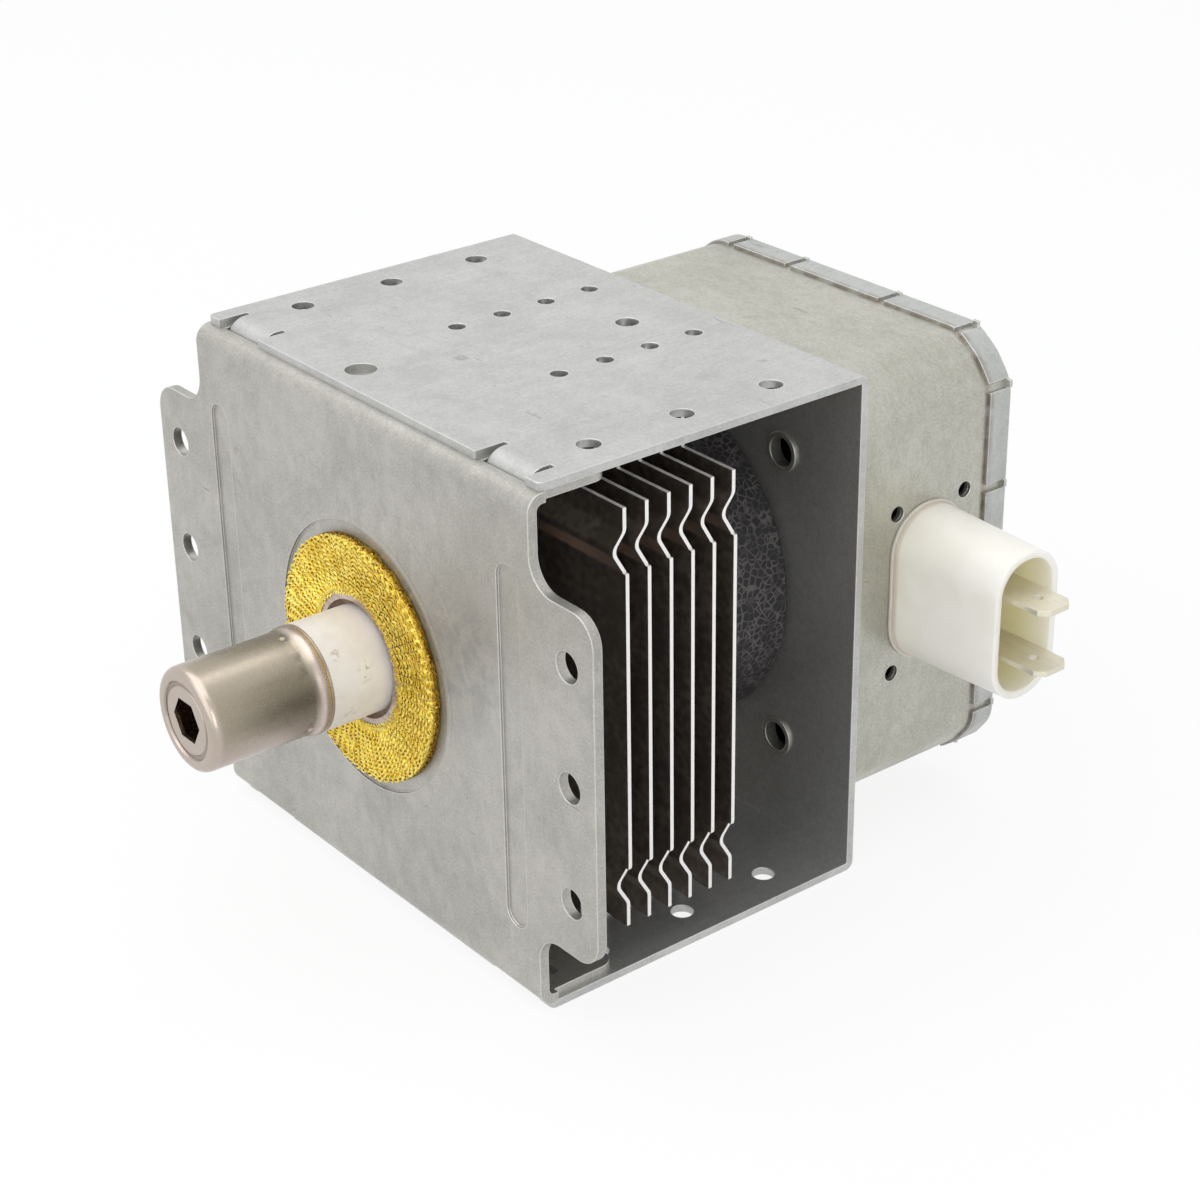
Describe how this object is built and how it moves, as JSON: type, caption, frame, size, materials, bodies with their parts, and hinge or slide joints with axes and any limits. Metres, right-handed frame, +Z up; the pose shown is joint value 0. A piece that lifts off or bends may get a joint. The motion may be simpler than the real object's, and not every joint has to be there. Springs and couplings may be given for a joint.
{
  "type": "microwave oven magnetron",
  "caption": "Air-cooled microwave tube with a flanged mounting plate, capped antenna, wire gasket, ribbed fins in an open steel yoke, and a filter box with a tab connector.",
  "frame": {"origin": "centre of the ear holes on the mounting plate's front face, which is on the tube's axis", "axes": "-Y along the antenna, +X towards the connector, +Z up as the part stands in the picture"},
  "size_m": [0.1159, 0.1198, 0.0796],
  "materials": {
    "galvanised_steel": "zinc-coated, satin",
    "filter_steel": "zinc-coated, satin",
    "fin_aluminium": "mill finish, bright edges",
    "magnet_ferrite": "matt, mottled",
    "tube_copper": "plain copper",
    "pole_iron": "plated",
    "seal_metal": "plated",
    "ceramic": "unglazed ceramic, slightly shiny",
    "cap_nickel": "nickel, lightly brushed",
    "gasket_wire": "knitted wire",
    "cathode_metal": "dull refractory metal",
    "connector_plastic": "moulded, satin",
    "capacitor_resin": "cast resin",
    "tinned_metal": "tinned",
    "coil_wire": "enamelled wire"
  },
  "bodies": {
    "root": {"front_plate": "galvanised_steel", "yoke_channel": "galvanised_steel", "filter_box": "filter_steel", "filter_lid": "filter_steel", "filter_plate": "filter_steel", "cooling_fin_1": "fin_aluminium", "cooling_fin_2": "fin_aluminium", "cooling_fin_3": "fin_aluminium", "cooling_fin_4": "fin_aluminium", "cooling_fin_5": "fin_aluminium", "cooling_fin_6": "fin_aluminium", "front_magnet": "magnet_ferrite", "rear_magnet": "magnet_ferrite", "upper_ferrite_core": "magnet_ferrite", "lower_ferrite_core": "magnet_ferrite", "anode_shell": "tube_copper", "antenna_lead": "tube_copper", "exhaust_tube": "tube_copper", "anode_vane_1": "tube_copper", "anode_vane_2": "tube_copper", "anode_vane_3": "tube_copper", "anode_vane_4": "tube_copper", "anode_vane_5": "tube_copper", "anode_vane_6": "tube_copper", "anode_vane_7": "tube_copper", "anode_vane_8": "tube_copper", "anode_vane_9": "tube_copper", "anode_vane_10": "tube_copper", "front_inner_strap": "tube_copper", "front_outer_strap": "tube_copper", "rear_inner_strap": "tube_copper", "rear_outer_strap": "tube_copper", "front_pole_piece": "pole_iron", "rear_pole_piece": "pole_iron", "output_seal_cup": "seal_metal", "input_seal_cup": "seal_metal", "output_seal_ring": "seal_metal", "output_ceramic": "ceramic", "stem_ceramic": "ceramic", "antenna_cap": "cap_nickel", "rf_gasket": "gasket_wire", "filament": "cathode_metal", "front_end_hat": "cathode_metal", "rear_end_hat": "cathode_metal", "centre_lead": "cathode_metal", "side_lead": "cathode_metal", "connector_housing": "connector_plastic", "capacitor_body": "capacitor_resin", "upper_terminal_blade": "tinned_metal", "lower_terminal_blade": "tinned_metal", "upper_stem_terminal": "tinned_metal", "lower_stem_terminal": "tinned_metal", "upper_choke_coil": "coil_wire", "lower_choke_coil": "coil_wire"}
  },
  "joints": []
}
